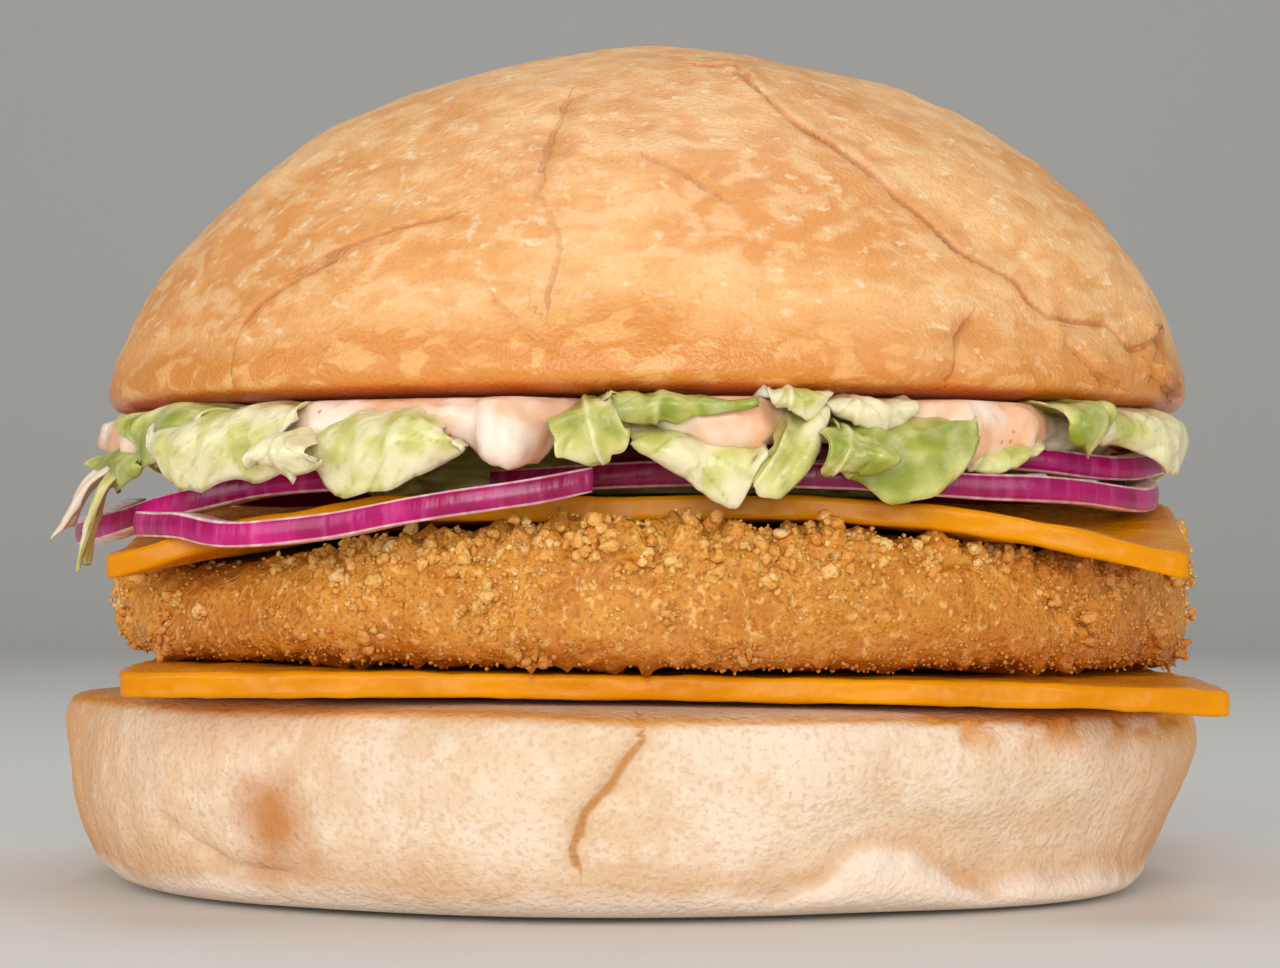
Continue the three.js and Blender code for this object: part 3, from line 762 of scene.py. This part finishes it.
def leaf_round_the_back(k, count, start, end):
    """A leaf of the kind that shows at the front, at one of the places round the back."""
    angle = start + (end - start) * (k + 0.35 + 0.3 * chance(k + 300)) / count
    half = 6 + 4 * chance(k + 310)
    aside = -5 + 10 * chance(k + 330)
    height = 36 + 2.4 * chance(k + 350)
    tilt = -1 + 2 * chance(k + 390)
    top = [(angle - half, 42 + 0.2 * tilt), (angle, 42.3), (angle + half, 42 - 0.2 * tilt)]
    left, right = angle + aside - 0.9 * half, angle + aside + 0.8 * half
    bottom = [(left, height + 1 + tilt), (angle + aside, height), (right, height + 0.8 - tilt)]
    return leaf(top, bottom, 49.2 + chance(k + 370), 0.9 * chance(k + 400))


def leaf_behind(k):
    """A paler leaf further in, which fills the heap behind the others."""
    angle = 11.25 * k + 4 * chance(k + 700)
    top = [(angle - 9, 41.8), (angle + 9, 41.9)]
    bottom = [(angle - 10, 38.8), (angle, 38.2 + chance(k + 710)), (angle + 9, 38.9)]
    return leaf(top, bottom, 45.5 + 2 * chance(k + 720), 0.3 * chance(k + 730))


leaves = shown_leaves + [leaf_round_the_back(k, 14, 90, 266) for k in range(14)]
leaves += [leaf_behind(k) for k in range(32)]


def around(degrees, radius, heights):
    """Points at angles from the front, at a radius and a height."""
    turn = np.radians(degrees)
    level = heights * np.ones_like(turn)
    return np.stack([radius * np.sin(turn), -radius * np.cos(turn), level], axis=-1)


def along(marks, u):
    """Angle and height at a share of the way along an edge, as a smooth curve through its marks."""
    at = np.linspace(0, 1, len(marks))
    ends = [np.polyfit(at, [mark[axis] for mark in marks], len(marks) - 1) for axis in (0, 1)]
    return [np.polyval(end, np.clip(u, 0, 1)) for end in ends]


def leaf_surface(leaf, index, u, v):
    """The middle of a leaf's thickness, with u across it and v out from the core to its tip."""
    torn = 0.02 * np.sin(9 * u + 6 * chance(index)) + 0.006 * np.sin(23 * u + index)
    v = v * (1 + torn - 0.1 * np.abs(2 * u - 1) ** 6)
    u = u + (u - 0.5) * (0.05 * np.sin(7 * v + index) + 0.02 * np.sin(17 * v + 2 * index))
    (top_turn, top_height), (low_turn, low_height) = along(leaf["top"], u), along(leaf["bottom"], u)
    middle = (leaf["top"][0][0] + leaf["top"][-1][0]) / 2
    root = around(middle + 0.8 * (top_turn - middle), core_radius - 2.5, core_top - 1.1)
    edge = around(top_turn, leaf["rim"], top_height)
    tip = around(low_turn, leaf["reach"], low_height)
    at_edge = 0.45
    bend = (edge - (1 - at_edge) ** 2 * root - at_edge**2 * tip) / (2 * at_edge * (1 - at_edge))
    v = v[..., None]
    surface = (1 - v) ** 2 * root + 2 * v * (1 - v) * bend + v**2 * tip
    wave = 0.8 * v[..., 0] * np.sin(5 * u + 3 * v[..., 0] + 2 * math.pi * chance(index + 500))
    return surface + around(top_turn, wave, 0)


def leaf_mesh(leaf, index):
    """A thin crisp leaf: its points and faces, and how green, veined and pink each point is."""
    columns, rows = (40, 40) if index < len(shown_leaves) else (16, 20)
    u, v = np.meshgrid(np.linspace(0, 1, columns + 1), np.linspace(0, 1, rows + 1))
    surface = leaf_surface(leaf, index, u, v)
    across = leaf_surface(leaf, index, u + 0.01, v) - leaf_surface(leaf, index, u - 0.01, v)
    out = leaf_surface(leaf, index, u, v + 0.01) - leaf_surface(leaf, index, u, v - 0.01)
    normal = np.cross(across, out)
    # Some leaves come to a point at their root, where the surface has no direction.
    normal /= np.maximum(np.linalg.norm(normal, axis=-1, keepdims=True), 1e-12)
    flat = surface.reshape(-1, 3)
    wide = np.linalg.norm(surface[-1, -1] - surface[-1, 0])
    pleat = np.sin(wide * 1.1 * u + 2.2 * grain(flat, 7, 80 + index, 2).reshape(u.shape) + index)
    buckled = 0.25 - 0.8 * np.abs(grain(flat, 5, 40 + index, 1))
    buckled += 0.1 * grain(flat, 1.3, 41 + index, 2)
    edge = np.clip(np.minimum(np.minimum(u, 1 - u) * wide, (1 - v) * 10) / 1.6, 0, 1)
    curl = 0.45 * np.sin(6 * u + 5 * v + 4 * chance(index + 620)) * (1 - edge) ** 2
    buckled = buckled.reshape(u.shape) + 0.22 * (1 - np.abs(pleat)) * min(1, wide / 5) + curl
    buckled = buckled * ramp(v, 0.2, 0.6)
    rib_at = leaf["rib"] or 0.25 + 0.5 * chance(index + 600)
    wide_rib = 3.0 if leaf["rib"] else 1.0
    rib = bump_at(u - rib_at - 0.08 * np.sin(4 * v), 0.07 * wide_rib * (1.4 - v))
    branches = 0.42 * wide * (v - 0.9 * np.abs(u - rib_at))
    branches += 0.5 * grain(flat, 5, 90 + index, 2).reshape(u.shape)
    fan = np.abs(branches % 1 - 0.5)
    veins = np.clip(bump_at(fan, 0.05) + 0.4 * rib, 0, 1)
    half = (0.1 + 0.12 * edge + 0.3 * rib)[..., None]
    centre = surface + normal * (buckled + 0.08 * veins)[..., None]
    under, over = centre - normal * half, centre + normal * half
    points = np.concatenate([under.reshape(-1, 3), over.reshape(-1, 3)])
    size = (columns + 1) * (rows + 1)
    faces = []
    for row in range(rows):
        for column in range(columns):
            a = row * (columns + 1) + column
            quad = (a, a + 1, a + columns + 2, a + columns + 1)
            faces.append(tuple(reversed(quad)))
            faces.append(tuple(corner + size for corner in quad))
    outline = list(range(columns))
    outline += [row * (columns + 1) + columns for row in range(rows)]
    outline += [rows * (columns + 1) + column for column in range(columns, 0, -1)]
    outline += [row * (columns + 1) for row in range(rows, 0, -1)]
    for a, b in zip(outline, outline[1:] + outline[:1]):
        faces.append((a, b, b + size, a + size))
    clouds = grain(flat, 4, 60 + index, 3).reshape(u.shape)
    green = leaf["green"] * (0.6 + 0.5 * v) + 0.6 * clouds
    green = green - 0.25 * (1 - edge) * (v > 0.5) - 0.4 * rib
    marks = (green, veins, np.full(u.shape, leaf["pink"]) + 0.2 * clouds * leaf["pink"])
    return points, faces, [np.tile(np.clip(mark, 0, 1).ravel(), 2) for mark in marks]


leaf_points, leaf_faces, leaf_marks = [], [], []
total = 0
for index, one in enumerate(leaves):
    points, faces, marks = leaf_mesh(one, index)
    leaf_points.append(points)
    leaf_faces += [tuple(corner + total for corner in face) for face in faces]
    leaf_marks.append(marks)
    total += len(points)
lettuce = made("lettuce_leaves", np.concatenate(leaf_points), leaf_faces)
for name, amounts in zip(("green", "vein", "pink"), zip(*leaf_marks)):
    marked(lettuce, name, np.concatenate(amounts))

# Shreds packed between the rings of onion carry the leaves, down to the cheese.
heap_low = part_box("cheese_top")[1].z / MM + 0.4
heap_columns, heap_rows, heap_radius = 240, 24, 25.5
turns, rises = np.meshgrid(np.arange(heap_columns) * 1.5, np.linspace(0, 1, heap_rows))
heap_heights = heap_low + (core_top - heap_low) * rises
heap_points = around(turns, heap_radius, heap_heights).reshape(-1, 3)
strands = grain(heap_points * [1, 1, 3], 5, 95, 3)
heap_points[:, :2] *= (1 + 0.1 * strands)[:, None]
heap_faces = [tuple(range(heap_columns))[::-1]]
heap_faces.append(tuple(range((heap_rows - 1) * heap_columns, heap_rows * heap_columns)))
for row in range(heap_rows - 1):
    start, above = row * heap_columns, (row + 1) * heap_columns
    for column in range(heap_columns):
        beside = (column + 1) % heap_columns
        heap_faces.append((start + column, start + beside, above + beside, above + column))
shreds = made("lettuce_heap", heap_points, heap_faces)
marked(shreds, "green", np.clip(0.5 + 0.5 * strands, 0, 1))
marked(shreds, "vein", np.clip(strands, 0, 1))
marked(shreds, "pink", 0 * strands)

leaf_finish, wire = new_finish("iceberg lettuce")
green = wire.mark("green")
clouds = wire.speckle(3.2, 4)
tint = green.between(0.0, 0.4).mix(colour(238, 228, 184), colour(208, 204, 118))
tint = green.between(0.3, 0.9).mix(tint, colour(146, 156, 46))
tint = (clouds.between(0.5, 0.75) * 0.35).mix(tint, colour(240, 232, 186))
tint = (wire.mark("vein") * (0.45 + 0.4 * green)).mix(tint, colour(168, 170, 84))
tint = (wire.mark("pink") * 0.8).mix(tint, colour(240, 210, 196))
leaf_shader = {
    "Base Color": tint,
    "Roughness": 0.28 + 0.2 * clouds,
    "Normal": wire.relief(wire.speckle(0.9, 4), 0.2),
    "Subsurface Weight": 0.5,
    "Subsurface Radius": (0.8, 1.0, 0.3),
    "Subsurface Scale": 0.8 * MM,
    "Coat Weight": 0.25,
    "Coat Roughness": 0.18,
}
dressed(lettuce, leaf_finish, leaf_shader)
put_on(shreds, leaf_finish)
placed(lettuce, "lettuce", "lettuce")
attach(shreds, "root")


# Sauce: a thick pink burger sauce spread under the crown. It has swelled out between the leaves
# in glossy rounded lobes, and flecks of red pepper show in it.

sauce_top = crown_base - 0.2
# Each lobe's middle and half width in degrees, how far it reaches out and its lowest height.
lobes = [
    (-62, 19, 50.2, 37.6),
    (-22, 17, 50.6, 38.0),
    (-12.5, 5, 51.4, 36.4),
    (-30, 10, 50.6, 39),
    (6.8, 8, 51, 38.4),
    (10, 3.5, 51.4, 38.0),
    (35, 11, 51.8, 37.4),
    (31, 5, 52, 37.6),
    (110, 15, 50.8, 38.2),
    (168, 17, 50.6, 37.6),
    (240, 14, 50.4, 38.4),
    (132, 8, 50.4, 39),
    (205, 12, 50.6, 38.6),
    (275, 10, 50.2, 38.8),
]
layer_reach, layer_depth, inner_radius, round_rim = 45.5, 1.6, 30, 2
columns, rows = 480, 40
turns = np.arange(columns) * 360 / columns
reach = layer_reach + 0.8 * np.sin(np.radians(7 * turns))
hang = np.full(columns, layer_depth)
for angle, half_width, lobe_reach, lowest in lobes:
    away = np.clip(np.abs((turns - angle + 540) % 360 - 180) / half_width, 0, 1)
    share = np.sqrt(np.cos(away * math.pi / 2))
    reach = np.maximum(reach, layer_reach + share * (lobe_reach - layer_reach))
    hang = np.maximum(hang, layer_depth + share * (sauce_top - layer_depth - lowest))
rim_line = around(turns, 50.0, 40.0)
reach = reach + 0.7 * grain(rim_line, 4, 53, 3) * ramp(hang, layer_depth, 3)
hang = hang * (1 + 0.18 * grain(rim_line, 3, 54, 3))
# Round the section of the layer: out along the top, round the bulging front and back underneath.
section = []
for step in np.linspace(0, 1, rows):
    if step < 0.2:
        out, down = inner_radius + (reach - round_rim - inner_radius) * step / 0.2, 0 * hang
    elif step < 0.8:
        turn = (step - 0.2) / 0.6 * math.pi
        out = reach - round_rim + round_rim * math.sin(turn)
        down = hang * (1 - math.cos(turn)) / 2
    else:
        out = reach - round_rim - (reach - round_rim - inner_radius) * (step - 0.8) / 0.2
        down = hang + (1.4 - hang) * ((step - 0.8) / 0.2) ** 0.5
    section.append(around(turns, out, sauce_top - down))
points = np.concatenate(section)
faces = []
for row in range(rows):
    start, above = row * columns, (row + 1) % rows * columns
    for column in range(columns):
        beside = (column + 1) % columns
        faces.append((start + column, above + column, above + beside, start + beside))
sauce = made("pink_sauce", points, faces)
spots = points_of(sauce)
lumpy = 0.7 * grain(spots, 4, 51, 2) + 0.25 * grain(spots, 1.4, 52, 2)
pushed_out(sauce, lumpy * ramp(-spots[:, 2], -sauce_top, 0.6 - sauce_top))
creamy, wire = new_finish("pink sauce")
specks = wire.cells(2.6)
clouds = wire.speckle(6, 2)
tint = clouds.between(0.35, 0.65).mix(colour(240, 184, 142), colour(253, 228, 208))
tint = ((1 - specks.between(0.05, 0.1)) * 0.8).mix(tint, colour(222, 110, 62))
creamy_shader = {
    "Base Color": tint,
    "Roughness": 0.32 + 0.15 * clouds,
    "Normal": wire.relief(wire.speckle(1.2, 3), 0.15),
    "Subsurface Weight": 0.35,
    "Subsurface Radius": (1.0, 0.55, 0.35),
    "Subsurface Scale": 1.2 * MM,
}
dressed(sauce, creamy, creamy_shader)
placed(sauce, "sauce", "sauce")


# Crown: the upper half of the bun, with a thin golden crust that has wrinkled as it cooled. A
# long fold runs down its right side, a crease down the middle, and its rim is caramel brown.

crown_middle = Vector((0.8, 0, crown_base + 9))
crown_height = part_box("bun_crown")[1].z / MM - crown_base
lower_slopes = [*np.linspace(-12.5, 30, 76), *np.linspace(31, 62, 34), *np.linspace(63.5, 90, 16)]
crown_slopes = [-90, -70, -52, -38, -28, -22, -18, -15.5, -14, *lower_slopes]
crown = skin_over("bun_crown", "crown", crown_middle, crown_slopes, 580)

right_fold = [(16.8, 28.9), (19.7, 24.5), (23.5, 22.5), (27.6, 19.5), (28.9, 16.9)]
right_fold += [(33, 14.4), (36, 11.7), (41.3, 10.1), (42.6, 8.4), (45, 7)]
right_fold += [(54.9, 6.9), (58, 5.2), (62, 5.8), (66, 6.6)]
flap_edge = [(66, 6.6), (63.5, 4.2), (61.8, 3.0), (66, 2.2), (70.6, 1.0)]
middle_crease = [(-13.1, 26.5), (-12.7, 22.3), (-12.6, 19), (-12.5, 16.8)]
middle_crease += [(-9.4, 12.4), (-9.2, 9.1), (-9.3, 7.4)]
left_curl = [(-33.4, 11.8), (-37.9, 10.3), (-42.5, 8.4), (-44.8, 6), (-45, 3.5), (-43.8, 1.8)]
left_line = [(-22, 15), (-30.5, 13.4), (-35, 12.3), (-38.9, 11)]
low_crease = [(-14.8, 7.5), (-11.7, 5), (-9.3, 3.4)]
right_line = [(0.3, 19.8), (5.6, 17.6), (7.6, 16.7)]
low_bulge = [(33.2, 6.4), (30.4, 3.8), (29.6, 1.3)]
small_folds = [(46.7, 5.2), (49.4, 2.8), (54.9, 1.7)]
top_band = [(10.6, 30.1), (17.7, 30), (17.8, 28.3)]
rim_radius = 48
# Each crease with its width and depth, and how far the skin above it stands up.
creases = [
    (right_fold, 0.35, 0.55, 0.2),
    (flap_edge, 0.5, 0.7, 0.5),
    (middle_crease, 1.0, 0.3, 0.12),
    (left_curl, 0.35, 0.4, 0.15),
    (left_line, 0.35, 0.35, 0.15),
    (low_crease, 0.5, 0.3, 0.15),
    (right_line, 0.4, 0.3, 0.1),
    (low_bulge, 1.2, 0.4, 0.1),
    (small_folds, 0.5, 0.5, 0.4),
    (top_band, 0.4, 0.3, 0.2),
]

spots = points_of(crown)
up = spots[:, 2] - crown_base
degrees = degrees_round(spots, crown_middle)
on_skin = ramp(up, 0.2, 1.5)
jitter = grain(spots, 3, 64, 3)
shape = 0.35 * grain(spots, 14, 61, 3)
wrinkles = grain(spots * [0.45, 0.45, 1], 2.6, 62, 4)
shape += 0.13 * wrinkles + 0.05 * grain(spots, 0.9, 63, 3)
pleats = bump_at(degrees - 52, 11) * bump_at(up - 3.5, 3.5)
shape += 0.18 * pleats * np.sin(degrees * 0.9 + 3 * jitter)
painted_crease_shade = np.zeros(len(spots))
offset = np.full(len(spots), 9.0)
for path, width, depth, lip in creases:
    marks = [(turn, height + crown_base) for turn, height in path]
    near, above = distance_to(spots, crown_middle, marks)
    near += 0.6 * width * jitter
    offset = np.where(np.abs(near) < np.abs(offset), near, offset)
    near = np.abs(near)
    strength = 0.75 + 0.5 * jitter
    shape -= depth * strength * bump_at(near, width)
    shape += lip * bump_at(near - 1.6 * width, 2.0 * width + 0.4) * (above > 0)
    # Painted shade along each crease, strongest on its line.
    painted_crease_shade = np.maximum(painted_crease_shade, strength * bump_at(near, width + 0.8) * min(1, 1.7 * depth))
# Two scorched places by the flap: degrees from the front, height, size and strength.
brown_tip = np.zeros(len(spots))
for turn, height, size, strength in [(69, 1.2, 1.8, 1), (66, 6.2, 1.4, 0.7)]:
    away = np.hypot(np.radians(degrees - turn) * rim_radius, up - height)
    brown_tip += strength * bump_at(away, size)
pushed_out(crown, shape * on_skin)
marked(crown, "offset", offset)
marked(crown, "painted_crease_shade", np.clip(painted_crease_shade, 0, 1))
marked(crown, "brown", np.clip(brown_tip, 0, 1))
marked(crown, "up", up / crown_height)

crust, wire = new_finish("golden crust")
up = wire.mark("up")
cloudy = {"Vector": wire.place((0.6, 0.6, 1)), "Scale": 1 / 12, "Detail": 4.0, "Distortion": 0.6}
clouds = wire.node("TexNoise", {}, cloudy)
mottled = {
    "Vector": wire.place((0.55, 0.55, 1)),
    "Scale": 1 / 1.8,
    "Detail": 5.0,
    "Distortion": 0.5,
}
mottle = wire.node("TexNoise", {}, mottled)
flecks = wire.speckle(1.1, 3, (0.7, 0.7, 1))
pores = wire.speckle(0.38, 3)
tint = clouds.between(0.36, 0.64).mix(colour(226, 154, 84), colour(243, 188, 126))
tint = (mottle.between(0.46, 0.64) * 0.5).mix(tint, colour(250, 210, 156))
tint = (flecks.between(0.6, 0.7) * 0.6).mix(tint, colour(255, 226, 186))
tint = ((1 - mottle).between(0.5, 0.66) * 0.33).mix(tint, colour(218, 146, 72))
tint = ((1 - pores).between(0.52, 0.68) * 0.25).mix(tint, colour(208, 132, 64))
# Painted shade in the creases: a light darkening round each and a dark line along it.
line = (1 - wire.sum("ABSOLUTE", wire.mark("offset")).between(0.08, 0.4)) * wire.mark("painted_crease_shade")
tint = (wire.mark("painted_crease_shade") * 0.25 + line * 0.65).mix(tint, colour(180, 98, 34))
glazed = (1 - up + 0.5 * (clouds - 0.5) + 0.25 * (mottle - 0.5)).between(0.81, 0.93)
tint = (glazed * 0.85).mix(tint, colour(212, 130, 42))
tint = (glazed * mottle.between(0.5, 0.62) * 0.45).mix(tint, colour(246, 196, 126))
tint = (wire.mark("brown") * 0.85).mix(tint, colour(150, 72, 28))
tint = ((1 - up).between(0.962, 0.985) * 0.9).mix(tint, colour(196, 92, 2))
tint = (1 - up.between(-0.01, 0.008)).mix(tint, colour(226, 180, 124))
crust_shader = {
    "Base Color": tint,
    "Roughness": 0.34 + 0.2 * pores - 0.14 * glazed,
    "Normal": wire.relief(mottle * 0.4 + flecks * 0.25 + pores * 0.35 - 0.5 * line, 0.4),
    "Subsurface Weight": 0.15,
    "Subsurface Radius": (1.0, 0.5, 0.25),
    "Subsurface Scale": 1.0 * MM,
    "Specular IOR Level": 0.45,
}
dressed(crown, crust, crust_shader)
placed(crown, "crust", "bun_crown")


# Studio: a pale sweep of seamless paper behind and under the burger, five soft panels of light,
# and a camera low in front.

sweep_width, sweep_back, sweep_height, bend_radius = 4000, 1400, 1800, 500
outline = [(-1500, 0), (sweep_back - bend_radius, 0)]
for turn in np.linspace(0, 90, 19)[1:]:
    bend = math.radians(turn)
    back = sweep_back - bend_radius * (1 - math.sin(bend))
    outline.append((back, bend_radius * (1 - math.cos(bend))))
outline.append((sweep_back, sweep_height))
corners = [(x, y, z) for y, z in outline for x in (-sweep_width / 2, sweep_width / 2)]
strips = [(2 * i, 2 * i + 1, 2 * i + 3, 2 * i + 2) for i in range(len(outline) - 1)]
sweep = made("studio_sweep", corners, strips)
paper, wire = new_finish("studio paper")
dressed(sweep, paper, {"Base Color": colour(228, 226, 222), "Roughness": 0.9})


def soft_light(name, place, size, power):
    """A square panel of even light, aimed at the burger."""
    light = bpy.data.lights.new(name, "AREA")
    light.shape = "SQUARE"
    light.size = size * MM
    light.energy = power
    panel = bpy.data.objects.new(name, light)
    panel.location = Vector(place) * MM
    panel.rotation_euler = (Vector((0, 0, 40)) - Vector(place)).to_track_quat("-Z", "Y").to_euler()
    bpy.context.collection.objects.link(panel)


soft_light("key", (-100, -870, 230), 420, 3.3)
soft_light("front", (80, -900, 50), 360, 2.3)
soft_light("left", (-760, -420, 160), 500, 2.7)
soft_light("right", (760, -460, 160), 500, 2.4)
soft_light("top", (60, 120, 820), 600, 2.1)

world = bpy.data.worlds.new("studio")
world.use_nodes = True
world.node_tree.nodes["Background"].inputs["Color"].default_value = (1.0, 0.99, 0.97, 1.0)
world.node_tree.nodes["Background"].inputs["Strength"].default_value = 0.22
bpy.context.scene.world = world
bpy.context.scene.view_settings.view_transform = "Standard"

# Where the photograph was taken from, in millimetres, and how far it looks up, in degrees.
camera_distance, camera_height, camera_tilt = 318, 28.4, 1.45
lens = bpy.data.cameras.new("camera")
lens.sensor_width = 36
lens.lens = 95.54
lens.clip_start = 0.01
camera = bpy.data.objects.new("camera", lens)
camera.location = Vector((0, -camera_distance, camera_height)) * MM
camera.rotation_euler = (math.radians(90 + camera_tilt), 0, 0)
bpy.context.collection.objects.link(camera)
bpy.context.scene.camera = camera
